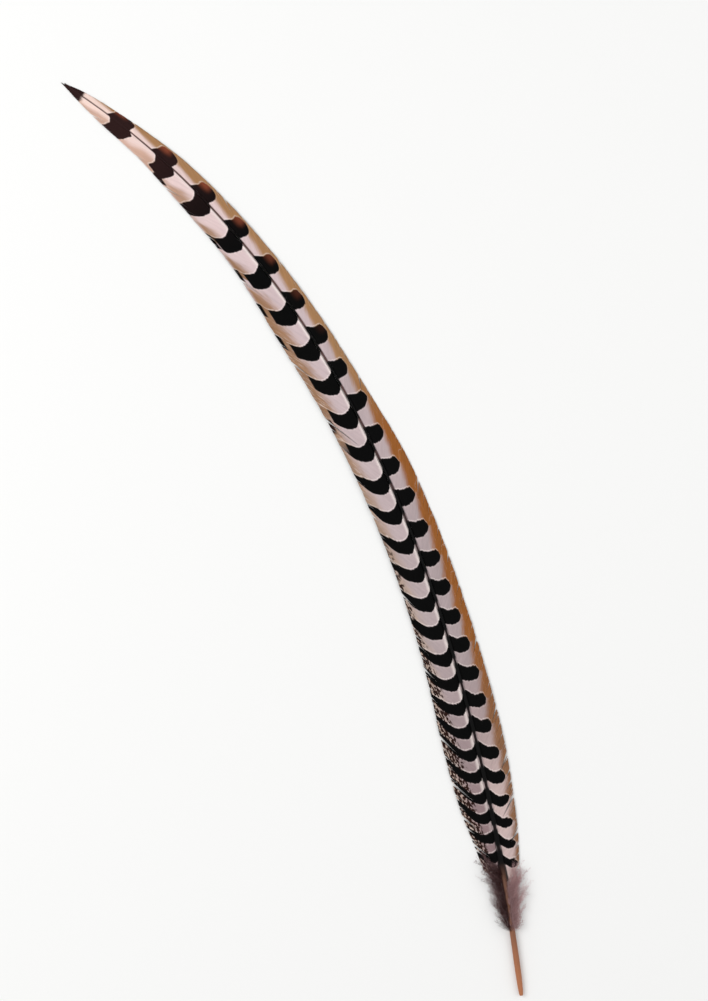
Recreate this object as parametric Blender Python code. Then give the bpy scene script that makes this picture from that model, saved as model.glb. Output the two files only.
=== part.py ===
"""Pheasant tail feather, lying upper side up on a surface.

Metres, +Z up. The straight line from the quill's end to the tip runs along +Y, and the shaft bows
to +X between them. The origin is at the middle of the feather's box, on the surface it lies on.
"""

import math
import random

import bmesh
import bpy
from mathutils import Matrix, Vector

# Lengths along the shaft are measured from the feather's tip.
LENGTH = 0.800
RACHIS_START = 0.012
VANE_END = 0.714
QUILL_TAPER = 0.028

# The shaft has turned by TURN * t - TURN_EASE * t**2 degrees at the share t of its length.
TURN = 84.8
TURN_EASE = 34.55
SHAFT_TIP_WIDTH = 0.0007
SHAFT_BASE_WIDTH = 0.0048
QUILL_END_WIDTH = 0.0022
SHAFT_STATIONS = 54
QUILL_STATIONS = 7
SHAFT_ROUNDING = 3
LOCK_ROUNDING = 1

# Height of the shaft's middle over the surface, at shares of the length.
SHAFT_HEIGHT = (
    (0.0, 0.0006), (0.15, 0.0028), (0.4, 0.0055), (0.7, 0.0066), (0.86, 0.0052), (0.955, 0.0025), (1.0, 0.0022),
)

# Half widths of the vane, from the shaft to the margin, at distances from the tip.
LEFT_VANE = (
    (0.0, 0.0), (0.019, 0.0047), (0.038, 0.0081), (0.057, 0.0098), (0.083, 0.0113), (0.113, 0.0142),
    (0.142, 0.0161), (0.189, 0.0177), (0.226, 0.0203), (0.264, 0.0229), (0.302, 0.0229), (0.378, 0.0224),
    (0.528, 0.0234), (0.604, 0.0257), (0.649, 0.0234), (0.680, 0.0181), (0.714, 0.0115),
)
RIGHT_VANE = (
    (0.0, 0.0), (0.019, 0.0034), (0.057, 0.0065), (0.083, 0.0086), (0.113, 0.0108), (0.189, 0.0126),
    (0.264, 0.0140), (0.302, 0.0147), (0.340, 0.0165), (0.378, 0.0195), (0.415, 0.0203), (0.528, 0.0205),
    (0.604, 0.0211), (0.649, 0.0190), (0.680, 0.0166), (0.714, 0.0115),
)
VANE_THICKNESS = 0.0006
VANE_LINES = 88
COLUMNS = 6
CAMBER_POWER = 1.7

# The feather rests on its tip, its quill and the middle of its right margin. The left margin hangs
# free between the ends, and the right one does on both sides of its middle.
LEFT_MARGIN_LIFT = 0.0012
RIGHT_MARGIN_LIFT = 0.0007

# A barb leaves the shaft at this angle to it, in degrees, and curls towards the tip.
BARB_ANGLE_TIP = 15.0
BARB_ANGLE_GAIN = 33.0
BARB_ANGLE_POWER = 1.3
BARB_CURL = 1.2

# Where barbs have parted: distance of the root from the tip, and the share of the barb still joined.
LEFT_SPLITS = (
    (0.071, 0.67), (0.128, 0.83), (0.163, 0.67), (0.214, 0.83), (0.262, 0.67), (0.331, 0.67), (0.378, 0.33),
    (0.455, 0.83), (0.518, 0.67), (0.577, 0.67), (0.628, 0.5), (0.659, 0.33), (0.681, 0.5), (0.699, 0.33),
)
RIGHT_SPLITS = (
    (0.094, 0.83), (0.186, 0.67), (0.247, 0.83), (0.352, 0.67), (0.441, 0.67), (0.497, 0.83), (0.560, 0.67),
    (0.611, 0.67), (0.644, 0.5), (0.671, 0.33), (0.693, 0.5),
)
SPLIT_GAP = 0.0030
TIP_WELD = 0.00002

# Down locks at the foot of the vane. Angles are in degrees. Those nearest the quill are shorter and
# lie closer to it, and every lock bends towards the tip.
LOCKS_PER_SIDE = 18
LOCKS_START = 0.708
LOCKS_END = 0.750
LOCK_LENGTH = 0.022
LOCK_SHORTENING = 0.45
LOCK_ROOT_WIDTH = 0.0017
LOCK_TIP_WIDTH = 0.0006
LOCK_ROOT_INSIDE = 0.25
LOCK_ANGLE = 44.0
LOCK_ANGLE_LOSS = 10.0
LOCK_BEND = 18.0
LOCK_POINTS = 5
LOCK_SETS = 3
CAP_WELD = 0.000001
SEED = 7

VANE_COLOUR = (0.55, 0.47, 0.45, 1.0)


def smooth_between(points, x):
    """The value at x of a smooth curve through (x, value) points."""
    if x <= points[0][0]:
        return points[0][1]
    for i in range(len(points) - 1):
        (x0, y0), (x1, y1) = points[i], points[i + 1]
        if x <= x1:
            before = points[max(i - 1, 0)]
            after = points[min(i + 2, len(points) - 1)]
            span = x1 - x0
            slope0 = (y1 - before[1]) / (x1 - before[0]) * span
            slope1 = (after[1] - y0) / (after[0] - x0) * span
            f = (x - x0) / span
            return (
                y0 * (1 + 2 * f) * (1 - f) ** 2 + slope0 * f * (1 - f) ** 2
                + y1 * f * f * (3 - 2 * f) - slope1 * f * f * (1 - f)
            )
    return points[-1][1]


def shaft_path(steps=400):
    """Points in plan along the shaft from the tip to the quill's end, with the chord along Y."""
    point = Vector((0.0, 0.0))
    path = [point.copy()]
    for i in range(steps):
        t = (i + 0.5) / steps
        turned = math.radians(TURN * t - TURN_EASE * t * t)
        point = point + Vector((math.cos(turned), -math.sin(turned))) * (LENGTH / steps)
        path.append(point.copy())
    chord = path[-1] - path[0]
    to_y = Matrix.Rotation(-math.pi / 2 - math.atan2(chord.y, chord.x), 2)
    return [to_y @ p for p in path]


PATH = shaft_path()


def shaft_at(distance):
    """Plan point on the shaft and the direction from there to the tip."""
    place = min(max(distance / LENGTH, 0.0), 1.0) * (len(PATH) - 1)
    i = min(int(place), len(PATH) - 2)
    point = PATH[i].lerp(PATH[i + 1], place - i)
    return point, (PATH[i] - PATH[i + 1]).normalized()


def shaft_height(distance):
    return smooth_between(SHAFT_HEIGHT, distance / LENGTH)


def shaft_width(distance):
    width = SHAFT_TIP_WIDTH + (SHAFT_BASE_WIDTH - SHAFT_TIP_WIDTH) * (distance / LENGTH) ** 2
    from_end = (LENGTH - distance) / QUILL_TAPER
    if from_end < 1:
        width = QUILL_END_WIDTH + (width - QUILL_END_WIDTH) * math.sqrt(1 - (1 - from_end) ** 2)
    return width


def on_feather(distance, across, height):
    """World point at a distance from the tip, across to the right of the shaft, at a height."""
    point, to_tip = shaft_at(distance)
    right = Vector((to_tip.y, -to_tip.x))
    plan = point + right * across
    return Vector((plan.x, plan.y, height))


def margin_height(distance, on_right):
    """Height of the vane's margin, at the middle of the vane's thickness."""
    t = distance / LENGTH
    if on_right:
        return VANE_THICKNESS / 2 + RIGHT_MARGIN_LIFT * math.sin(2 * math.pi * t) ** 2
    return VANE_THICKNESS / 2 + LEFT_MARGIN_LIFT * math.sin(math.pi * t) ** 2


def vane_point(root, share):
    """Point on the vane at a share, -1 to 1, of the barb rooted at this distance from the tip."""
    outline = RIGHT_VANE if share > 0 else LEFT_VANE
    angle = BARB_ANGLE_TIP + BARB_ANGLE_GAIN * (root / LENGTH) ** BARB_ANGLE_POWER
    reach = smooth_between(outline, root) / math.tan(math.radians(angle))
    end = max(root - reach, 0.0) if root > RACHIS_START else 0.0
    out = abs(share)
    distance = root - (root - end) * out ** BARB_CURL
    across = share * smooth_between(outline, end)
    middle = shaft_height(distance)
    margin = margin_height(distance, share > 0)
    height = margin + (middle - margin) * (1 - out ** CAMBER_POWER)
    return on_feather(distance, across, height)


def vane_roots():
    return [RACHIS_START + (VANE_END - RACHIS_START) * i / VANE_LINES for i in range(VANE_LINES + 1)]


def part_barbs(bm, line, column, side, root, joined):
    """Opens a wedge in the sheet from the margin in, along the barb line nearest to a root."""
    nearest = round((root - RACHIS_START) / (VANE_END - RACHIS_START) * VANE_LINES)
    start = round(joined * COLUMNS)
    along = [
        edge for edge in bm.edges
        if all(v[line] == nearest and v[column] * side >= start for v in edge.verts)
    ]
    bmesh.ops.split_edges(bm, edges=along)
    tip_side = {
        v for face in bm.faces for v in face.verts
        if min(w[line] for w in face.verts) == nearest - 1 and v[line] == nearest
        and v[column] * side > start
    }
    to_tip = shaft_at(root)[1]
    for v in tip_side:
        open_by = SPLIT_GAP * (abs(v[column]) - start) / (COLUMNS - start)
        v.co.xy += to_tip * open_by


def vane_mesh():
    """Both halves of the vane as one sheet, parted where its barbs have come apart."""
    bm = bmesh.new()
    line = bm.verts.layers.int.new("line")
    column = bm.verts.layers.int.new("column")
    bmesh.ops.create_grid(bm, x_segments=2 * COLUMNS, y_segments=VANE_LINES, size=1.0)
    roots = vane_roots()
    for v in bm.verts:
        v[column] = round(v.co.x * COLUMNS)
        v[line] = round((v.co.y + 1) / 2 * VANE_LINES)
        v.co = vane_point(roots[v[line]], v[column] / COLUMNS)
    for side, splits in ((-1, LEFT_SPLITS), (1, RIGHT_SPLITS)):
        for root, joined in splits:
            part_barbs(bm, line, column, side, root, joined)
    # Both halves of the first line lie on each other, which closes the tip.
    bmesh.ops.remove_doubles(bm, verts=[v for v in bm.verts if v[line] == 0], dist=TIP_WELD)
    bmesh.ops.recalc_face_normals(bm, faces=bm.faces)
    if sum(face.normal.z for face in bm.faces) < 0:
        bmesh.ops.reverse_faces(bm, faces=bm.faces)
    mesh = bpy.data.meshes.new("feather")
    bm.to_mesh(mesh)
    bm.free()
    return mesh


def tube_mesh(name, runs, rounding):
    """Round tapered tubes along runs of (point, width), with closed ends."""
    curve = bpy.data.curves.new(name, "CURVE")
    curve.dimensions = "3D"
    curve.bevel_depth = 1.0
    curve.bevel_resolution = rounding
    curve.use_fill_caps = True
    for run in runs:
        spline = curve.splines.new("POLY")
        spline.points.add(len(run) - 1)
        for target, (point, width) in zip(spline.points, run):
            target.co = (*point, 1.0)
            target.radius = width / 2
    guide = bpy.data.objects.new(name + "_guide", curve)
    bpy.context.collection.objects.link(guide)
    graph = bpy.context.evaluated_depsgraph_get()
    mesh = bpy.data.meshes.new_from_object(guide.evaluated_get(graph))
    bpy.data.objects.remove(guide)
    bm = bmesh.new()
    bm.from_mesh(mesh)
    bmesh.ops.remove_doubles(bm, verts=bm.verts, dist=CAP_WELD)
    bm.to_mesh(mesh)
    bm.free()
    return mesh


def shaft_run():
    """Points of the shaft from inside the vane's tip on, closer together where the quill rounds off."""
    first = RACHIS_START / 2
    step = (LENGTH - QUILL_TAPER - first) / SHAFT_STATIONS
    distances = [first + step * i for i in range(SHAFT_STATIONS)]
    distances += [LENGTH - QUILL_TAPER * (1 - i / (QUILL_STATIONS - 1)) ** 2 for i in range(QUILL_STATIONS)]
    return [(on_feather(d, 0.0, shaft_height(d)), shaft_width(d)) for d in distances]


def lock_runs():
    """Curved tapering locks of down, in order along the left side of the shaft and then the right."""
    rng = random.Random(SEED)
    runs = []
    for side in (-1, 1):
        for i in range(LOCKS_PER_SIDE):
            place = (i + rng.uniform(0.3, 0.7)) / LOCKS_PER_SIDE
            root = LOCKS_START + (LOCKS_END - LOCKS_START) * place
            length = LOCK_LENGTH * rng.uniform(0.75, 1.1) * (1 - LOCK_SHORTENING * place**2)
            angle = math.radians(LOCK_ANGLE - LOCK_ANGLE_LOSS * place + rng.uniform(-4, 4))
            inside = shaft_width(root) * LOCK_ROOT_INSIDE
            top = shaft_height(root)
            floor = LOCK_TIP_WIDTH * rng.uniform(0.8, 3.0)
            run = []
            for k in range(LOCK_POINTS):
                f = k / (LOCK_POINTS - 1)
                bent = angle - math.radians(LOCK_BEND) * f * f
                distance = root - length * f * math.cos(bent)
                across = side * (inside + length * f * math.sin(bent))
                height = floor + (top - floor) * (1 - f**CAMBER_POWER)
                width = LOCK_ROOT_WIDTH + (LOCK_TIP_WIDTH - LOCK_ROOT_WIDTH) * f
                run.append((on_feather(distance, across, height), width))
            runs.append(run)
    return runs


def helper_object(name, mesh):
    helper = bpy.data.objects.new(name, mesh)
    bpy.context.collection.objects.link(helper)
    helper.hide_render = True
    helper.display_type = "WIRE"
    return helper


def feather_material():
    material = bpy.data.materials.new("barbs")
    material.use_nodes = True
    shader = material.node_tree.nodes["Principled BSDF"]
    shader.inputs["Base Color"].default_value = VANE_COLOUR
    shader.inputs["Roughness"].default_value = 0.6
    shader.inputs["Metallic"].default_value = 0.0
    return material


def centre_on_surface(meshes):
    """Moves the meshes so that the middle of their common box is at the origin in plan."""
    points = [v.co for mesh in meshes for v in mesh.vertices]
    middle_x = (min(p.x for p in points) + max(p.x for p in points)) / 2
    middle_y = (min(p.y for p in points) + max(p.y for p in points)) / 2
    for mesh in meshes:
        mesh.transform(Matrix.Translation((-middle_x, -middle_y, 0.0)))


def build():
    for old in list(bpy.data.objects):
        bpy.data.objects.remove(old)
    vane = vane_mesh()
    guides = {"shaft": tube_mesh("shaft", [shaft_run()], SHAFT_ROUNDING)}
    # Neighbouring locks cross each other, so each set leaves out those next to its own.
    locks = lock_runs()
    for first in range(LOCK_SETS):
        name = f"locks_{first}"
        guides[name] = tube_mesh(name, locks[first::LOCK_SETS], LOCK_ROUNDING)
    centre_on_surface([vane, *guides.values()])

    feather = bpy.data.objects.new("feather", vane)
    bpy.context.collection.objects.link(feather)
    vane.materials.append(feather_material())
    thickness = feather.modifiers.new("vane thickness", "SOLIDIFY")
    thickness.thickness = VANE_THICKNESS
    thickness.offset = 0.0
    for name, mesh in guides.items():
        union = feather.modifiers.new(name, "BOOLEAN")
        union.operation = "UNION"
        union.object = helper_object(name, mesh)
    vane.shade_smooth()


build()
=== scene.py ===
"""A barred pheasant tail feather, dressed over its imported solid: barbs, shaft and down.

Metres throughout. The feather lies upper side up with its tip at +Y, and its shaft bows to +X.
"""

import math

import bmesh
import bpy
import numpy as np
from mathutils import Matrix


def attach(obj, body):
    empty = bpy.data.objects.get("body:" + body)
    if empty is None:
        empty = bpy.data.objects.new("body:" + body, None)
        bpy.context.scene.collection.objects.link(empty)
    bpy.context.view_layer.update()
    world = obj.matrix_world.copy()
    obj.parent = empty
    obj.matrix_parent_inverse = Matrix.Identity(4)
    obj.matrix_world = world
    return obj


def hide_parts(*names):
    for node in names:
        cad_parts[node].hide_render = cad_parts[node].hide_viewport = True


bl_info = {
    "name": "Pheasant Tail Feather",
    "version": (1, 0, 0),
    "blender": (4, 5, 0),
    "location": "3D View > Sidebar > Feather",
    "description": "Builds the barbs, shaft and down of a barred tail feather",
    "category": "Add Mesh",
}

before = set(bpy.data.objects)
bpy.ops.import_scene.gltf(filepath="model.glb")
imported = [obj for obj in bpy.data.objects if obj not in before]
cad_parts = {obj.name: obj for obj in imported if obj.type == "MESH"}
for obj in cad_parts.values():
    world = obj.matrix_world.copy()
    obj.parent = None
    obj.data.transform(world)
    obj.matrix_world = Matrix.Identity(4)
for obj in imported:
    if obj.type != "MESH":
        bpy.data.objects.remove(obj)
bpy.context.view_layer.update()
BODY = "root"
NODE = "feather"

# ---------------------------------------------------------------- form, as the solid has it

# Lengths along the shaft are measured from the tip.
LENGTH = 0.800
TIP_PLACE = (-0.0527550, 0.3871012)
RACHIS_START = 0.012
VANE_END = 0.714
QUILL_TAPER = 0.028
TURN = 84.8
TURN_EASE = 34.55
SHAFT_TIP_WIDTH = 0.0007
SHAFT_BASE_WIDTH = 0.0048
QUILL_END_WIDTH = 0.0022
PATH_STEPS = 4000

SHAFT_HEIGHT = (
    (0.0, 0.0006), (0.15, 0.0028), (0.4, 0.0055), (0.7, 0.0066), (0.86, 0.0052), (0.955, 0.0025), (1.0, 0.0022),
)
LEFT_VANE = (
    (0.0, 0.0), (0.019, 0.0047), (0.038, 0.0081), (0.057, 0.0098), (0.083, 0.0113), (0.113, 0.0142),
    (0.142, 0.0161), (0.189, 0.0177), (0.226, 0.0203), (0.264, 0.0229), (0.302, 0.0229), (0.378, 0.0224),
    (0.528, 0.0234), (0.604, 0.0257), (0.649, 0.0234), (0.680, 0.0181), (0.714, 0.0115),
)
RIGHT_VANE = (
    (0.0, 0.0), (0.019, 0.0034), (0.057, 0.0065), (0.083, 0.0086), (0.113, 0.0108), (0.189, 0.0126),
    (0.264, 0.0140), (0.302, 0.0147), (0.340, 0.0165), (0.378, 0.0195), (0.415, 0.0203), (0.528, 0.0205),
    (0.604, 0.0211), (0.649, 0.0190), (0.680, 0.0166), (0.714, 0.0115),
)
CAMBER_POWER = 1.7
LEFT_MARGIN_LIFT = 0.0012
RIGHT_MARGIN_LIFT = 0.0007
MARGIN_CLEARANCE = 0.00012
BARB_ANGLE_TIP = 15.0
BARB_ANGLE_GAIN = 33.0
BARB_ANGLE_POWER = 1.3
BARB_CURL = 1.2

# Where barbs have parted: distance of the root from the tip, and the share of the barb still joined.
LEFT_SPLITS = (
    (0.071, 0.67), (0.128, 0.83), (0.163, 0.67), (0.214, 0.83), (0.262, 0.67), (0.331, 0.67), (0.378, 0.33),
    (0.455, 0.83), (0.518, 0.67), (0.577, 0.67), (0.628, 0.5), (0.659, 0.33), (0.681, 0.5), (0.699, 0.33),
)
RIGHT_SPLITS = (
    (0.094, 0.83), (0.186, 0.67), (0.247, 0.83), (0.352, 0.67), (0.441, 0.67), (0.497, 0.83), (0.560, 0.67),
    (0.611, 0.67), (0.644, 0.5), (0.671, 0.33), (0.693, 0.5),
)
SPLIT_GAP = 0.0030
SPLIT_FADE = 0.008

# ---------------------------------------------------------------- bars

# Lowest point of each bar's middle on either vane, from the tip, and half its thickness there as a
# share of the spacing.
LEFT_BARS = (
    0.0580, 0.1027, 0.1433, 0.1804, 0.2162, 0.2509, 0.2834, 0.3137, 0.3432, 0.3713, 0.3990, 0.4243, 0.4488,
    0.4716, 0.4951, 0.5176, 0.5393, 0.5589, 0.5783, 0.5969, 0.6144, 0.6315, 0.6481, 0.6633, 0.6789, 0.6936,
)
RIGHT_BARS = (
    0.0570, 0.0992, 0.1389, 0.1749, 0.2110, 0.2440, 0.2753, 0.3048, 0.3331, 0.3606, 0.3878, 0.4132, 0.4395,
    0.4633, 0.4863, 0.5095, 0.5317, 0.5542, 0.5752, 0.5951, 0.6158, 0.6349, 0.6530, 0.6695, 0.6853, 0.7002,
)
LEFT_HALF = (
    (0.0, 0.243), (0.06, 0.234), (0.10, 0.226), (0.14, 0.230), (0.18, 0.240), (0.25, 0.241), (0.31, 0.252),
    (0.40, 0.254), (0.50, 0.271), (0.55, 0.269), (0.61, 0.267), (0.70, 0.286),
)
RIGHT_HALF = (
    (0.0, 0.207), (0.12, 0.219), (0.17, 0.226), (0.30, 0.231), (0.33, 0.221), (0.37, 0.237), (0.44, 0.249),
    (0.50, 0.251), (0.55, 0.247), (0.65, 0.238), (0.67, 0.225), (0.70, 0.190),
)
TIP_MARK = 0.0204

# On the left vane the bars are U shaped. How far out their lowest point lies, how far they rise
# towards the tip at the shaft, and how far they do 15 mm beyond the lowest point.
LEFT_LOW = (
    (0.0, 0.0006), (0.057, 0.0023), (0.10, 0.0040), (0.143, 0.0052), (0.18, 0.0057), (0.25, 0.0065),
    (0.31, 0.0065), (0.40, 0.0071), (0.55, 0.0067), (0.69, 0.0060),
)
LEFT_RISE_INSIDE = (
    (0.0, 0.0024), (0.057, 0.0033), (0.10, 0.0039), (0.143, 0.0042), (0.18, 0.0041), (0.25, 0.0045),
    (0.31, 0.0060), (0.343, 0.0076), (0.42, 0.0092), (0.50, 0.0093), (0.56, 0.0087), (0.614, 0.0078),
    (0.65, 0.0072), (0.663, 0.0059), (0.69, 0.0044),
)
LEFT_RISE_OUTSIDE = (
    (0.0, 0.0237), (0.10, 0.0200), (0.143, 0.0173), (0.20, 0.0163), (0.34, 0.0171), (0.39, 0.0151),
    (0.50, 0.0137), (0.55, 0.0118), (0.63, 0.0127), (0.69, 0.0127),
)
RISE_RUN = 0.015
RISE_POWER_INSIDE = ((0.18, 2.3), (0.30, 2.6))
RISE_POWER_OUTSIDE = 2.03

# How far barbs at the left margin have slipped towards the quill, and how much thinner the bars are there.
MARGIN_SLIP = ((0.085, 0.0), (0.095, 0.0098), (0.115, 0.0098), (0.130, 0.0020), (0.160, -0.0020), (0.20, -0.0030),
               (0.26, -0.0030), (0.30, -0.0015), (0.34, 0.0))
MARGIN_THINNING = ((0.28, 0.06), (0.36, 0.42))

# On the right vane each bar ends in a rounded lobe at this distance from the shaft.
RIGHT_REACH = (
    (0.0, 0.0071), (0.057, 0.0085), (0.098, 0.0090), (0.138, 0.0101), (0.174, 0.0114), (0.21, 0.0114),
    (0.243, 0.0116), (0.274, 0.0121), (0.304, 0.0115), (0.332, 0.0134), (0.36, 0.0122), (0.387, 0.0130),
    (0.413, 0.0141), (0.439, 0.0140), (0.463, 0.0146), (0.486, 0.0143), (0.509, 0.0146), (0.532, 0.0150),
    (0.553, 0.0157), (0.574, 0.0154), (0.594, 0.0145), (0.614, 0.0155), (0.633, 0.0161), (0.652, 0.0156),
    (0.668, 0.0146), (0.684, 0.0140), (0.70, 0.0126),
)
RIGHT_LOW = ((0.0, 0.0055), (0.53, 0.0064), (0.58, 0.0078), (0.62, 0.0083), (0.70, 0.0072))
RIGHT_RISE_INSIDE = (
    (0.0, 0.0041), (0.10, 0.0031), (0.15, 0.0028), (0.174, 0.0033), (0.21, 0.0038), (0.243, 0.0036),
    (0.274, 0.0029), (0.304, 0.0015), (0.36, 0.0012), (0.41, 0.0019), (0.44, 0.0027), (0.486, 0.0041),
    (0.60, 0.0060), (0.633, 0.0073), (0.652, 0.0072), (0.668, 0.0072), (0.69, 0.0066),
)
RIGHT_RISE_POWER = 1.18
RIGHT_SWELL = ((0.5, 0.17), (0.6, 0.45))

# How square the right bars' ends are: the higher the power, the blunter the corner.
UPPER_CORNER = 20.0
LOWER_CORNER = (
    (0.0, 3.9), (0.10, 6.3), (0.21, 10.0), (0.31, 5.9), (0.34, 4.6), (0.387, 5.0), (0.42, 3.8), (0.46, 4.5),
    (0.51, 7.2), (0.58, 14.0),
)

# The vanes' outer parts are warmer from this share of the barred width on.
LEFT_WARM_FROM = (
    (0.0, 0.55), (0.05, 0.42), (0.10, 0.42), (0.13, 0.54), (0.16, 0.72), (0.20, 0.71), (0.225, 0.62),
    (0.24, 0.58), (0.30, 0.63), (0.325, 0.68), (0.345, 0.80), (0.385, 0.76), (0.714, 0.76),
)
RIGHT_WARM_FROM = (
    (0.0, 0.60), (0.05, 0.45), (0.08, 0.41), (0.12, 0.39), (0.16, 0.45), (0.19, 0.52), (0.23, 0.51),
    (0.26, 0.54), (0.29, 0.65), (0.333, 0.69), (0.36, 0.79), (0.38, 0.82), (0.45, 0.83), (0.50, 0.81),
    (0.56, 0.85), (0.714, 0.92),
)

# ---------------------------------------------------------------- down

# Angles are in degrees from the shaft. The strands nearest the quill are shorter and lie closer to it.
DOWN_STARTS = {-1: 0.708, 1: 0.719}
DOWN_END = 0.752
DOWN_ANGLE = 44.0
DOWN_ANGLE_LOSS = 12.0
DOWN_SHORTENING = 0.45
DOWN_STATIONS = 9
TONE_COLUMNS = 16


class FeatherSizes(bpy.types.PropertyGroup):
    """Sizes of the feather's fine parts."""

    barbs_per_side: bpy.props.IntProperty(
        name="Barbs per side", description="Number of barbs in each vane", default=1500, min=100, max=2000
    )
    barb_overlap: bpy.props.FloatProperty(
        name="Barb overlap", description="Width of a barb over the space it has", default=1.7, min=1.0, max=3.0
    )
    barb_ridge: bpy.props.FloatProperty(
        name="Barb ridge", description="Height of a barb's ridge over its edges", default=0.00009, unit="LENGTH"
    )
    down_strands: bpy.props.IntProperty(
        name="Down strands", description="Number of loose strands on each side", default=170, min=10, max=300
    )
    down_barbules: bpy.props.IntProperty(
        name="Down barbules", description="Number of fine branches on a loose strand", default=38, min=1, max=60
    )
    down_length: bpy.props.FloatProperty(
        name="Down length", description="Length of the longest loose strand", default=0.024, unit="LENGTH"
    )
    groove_depth: bpy.props.FloatProperty(
        name="Groove depth", description="Share of the shaft's height that its groove takes", default=0.3, min=0.0,
        max=0.6, subtype="FACTOR",
    )


def tint(name, description, *rgb):
    """A colour property with an sRGB default given in 0 to 255."""
    linear = [((c / 255 + 0.055) / 1.055) ** 2.4 if c > 10 else c / 255 / 12.92 for c in rgb]
    return bpy.props.FloatVectorProperty(
        name=name, description=description, default=linear, min=0.0, max=1.0, size=3, subtype="COLOR"
    )


class FeatherColours(bpy.types.PropertyGroup):
    """Colours of the feather."""

    pale_tip: tint("Pale ground, tip", "Ground between the bars at the tip", 246, 222, 212)
    pale_upper: tint("Pale ground, upper", "Ground between the bars at a sixth of the length", 232, 210, 208)
    pale_middle: tint("Pale ground, middle", "Ground between the bars at a third", 212, 193, 195)
    pale_lower: tint("Pale ground, lower", "Ground between the bars at two thirds", 184, 168, 169)
    pale_base: tint("Pale ground, base", "Ground between the bars near the quill", 150, 126, 128)
    pale_foot: tint("Pale ground, foot", "Ground of the lowest right vane", 214, 191, 187)
    cream_rim: tint("Rim", "Bright line where the ground meets a bar or the shaft", 244, 233, 228)
    sand: tint("Sand", "Outer left vane near the tip", 215, 180, 162)
    fawn: tint("Fawn", "Outer left vane in the upper middle", 164, 126, 97)
    ash: tint("Ash", "Outer left vane in the lower middle", 190, 168, 154)
    ochre: tint("Ochre", "Outer right vane in the upper half", 176, 134, 94)
    tawny: tint("Tawny", "Outer right vane in the lower half", 160, 100, 50)
    umber: tint("Umber", "Outer right vane near the quill", 150, 108, 78)
    freckle: tint("Freckles", "Dark specks on the lower left margin", 46, 26, 20)
    black: tint("Bar", "Bars", 5, 5, 5)
    brown: tint("First bars", "The tip and the first bars", 50, 30, 29)
    chestnut: tint("Chestnut", "Outer corner of the first right bars", 138, 72, 50)
    underside: tint("Underside", "Dull lower side of the vanes", 158, 146, 138)
    rachis_tip: tint("Rachis, tip", "Upper side of the shaft near the tip", 104, 76, 74)
    rachis: tint("Rachis", "Upper side of the shaft in the vane", 26, 15, 16)
    groove: tint("Rachis underside", "Lower side of the shaft in the vane", 206, 184, 152)
    horn: tint("Quill", "Bare quill", 178, 116, 82)
    # The quill's darker tone, used in fine streaks and most strongly where the quill comes out of the down.
    horn_shade: tint("Quill shade", "Streaks and old skin on the quill", 116, 82, 66)
    down: tint("Down", "Loose strands at the foot of the vane", 206, 166, 166)
    down_shade: tint("Down shade", "Darker strands", 60, 35, 34)


class FeatherStage(bpy.types.PropertyGroup):
    """Floor, lights and camera."""

    floor_colour: tint("Floor", "Plain floor", 243, 243, 242)
    key_power: bpy.props.FloatProperty(
        name="Key light", description="Power of the large soft light", default=30.0, unit="POWER"
    )
    fill_power: bpy.props.FloatProperty(
        name="Fill light", description="Power of the light on the other side", default=11.0, unit="POWER"
    )
    world_strength: bpy.props.FloatProperty(
        name="Sky", description="Strength of the even light from all round", default=0.65
    )
    lens: bpy.props.FloatProperty(
        name="Lens", description="Focal length", default=100.0, unit="CAMERA", subtype="DISTANCE_CAMERA"
    )


# ---------------------------------------------------------------- the feather's own measures


def smooth_between(points, x):
    """Values at x of a smooth curve through (x, value) points, for arrays."""
    px, py = (np.array(column, float) for column in zip(*points))
    x = np.clip(x, px[0], px[-1])
    i = np.clip(np.searchsorted(px, x) - 1, 0, len(px) - 2)
    before, after = np.maximum(i - 1, 0), np.minimum(i + 2, len(px) - 1)
    span = px[i + 1] - px[i]
    slope0 = (py[i + 1] - py[before]) / (px[i + 1] - px[before]) * span
    slope1 = (py[after] - py[i]) / (px[after] - px[i]) * span
    f = (x - px[i]) / span
    return (
        py[i] * (1 + 2 * f) * (1 - f) ** 2 + slope0 * f * (1 - f) ** 2
        + py[i + 1] * f * f * (3 - 2 * f) - slope1 * f * f * (1 - f)
    )


def straight_between(points, x):
    """Values at x of the straight runs through (x, value) points."""
    return np.interp(x, *zip(*points))


def smooth_step(low, high, x):
    t = np.clip((x - low) / (high - low), 0.0, 1.0)
    return t * t * (3 - 2 * t)


def shaft_path():
    """Plan points along the shaft in even steps from the tip, and its direction there."""
    t = (np.arange(PATH_STEPS) + 0.5) / PATH_STEPS
    turned = np.radians(TURN * t - TURN_EASE * t * t)
    run = np.column_stack([np.cos(turned), -np.sin(turned)]) * LENGTH / PATH_STEPS
    path = np.vstack([[0.0, 0.0], np.cumsum(run, axis=0)])
    turn = -math.pi / 2 - math.atan2(path[-1, 1], path[-1, 0])
    to_y = np.array([[math.cos(turn), math.sin(turn)], [-math.sin(turn), math.cos(turn)]])
    path = path @ to_y
    return path + TIP_PLACE, -np.gradient(path, axis=0) * PATH_STEPS / LENGTH


PATH, TO_TIP = shaft_path()


def shaft_height(distance):
    return smooth_between(SHAFT_HEIGHT, distance / LENGTH)


def shaft_width(distance):
    share = np.clip(distance / LENGTH, 0.0, 1.0)
    width = SHAFT_TIP_WIDTH + (SHAFT_BASE_WIDTH - SHAFT_TIP_WIDTH) * share**2
    from_end = np.clip((LENGTH - distance) / QUILL_TAPER, 0.0, 1.0)
    return QUILL_END_WIDTH + (width - QUILL_END_WIDTH) * np.sqrt(1 - (1 - from_end) ** 2)


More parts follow.
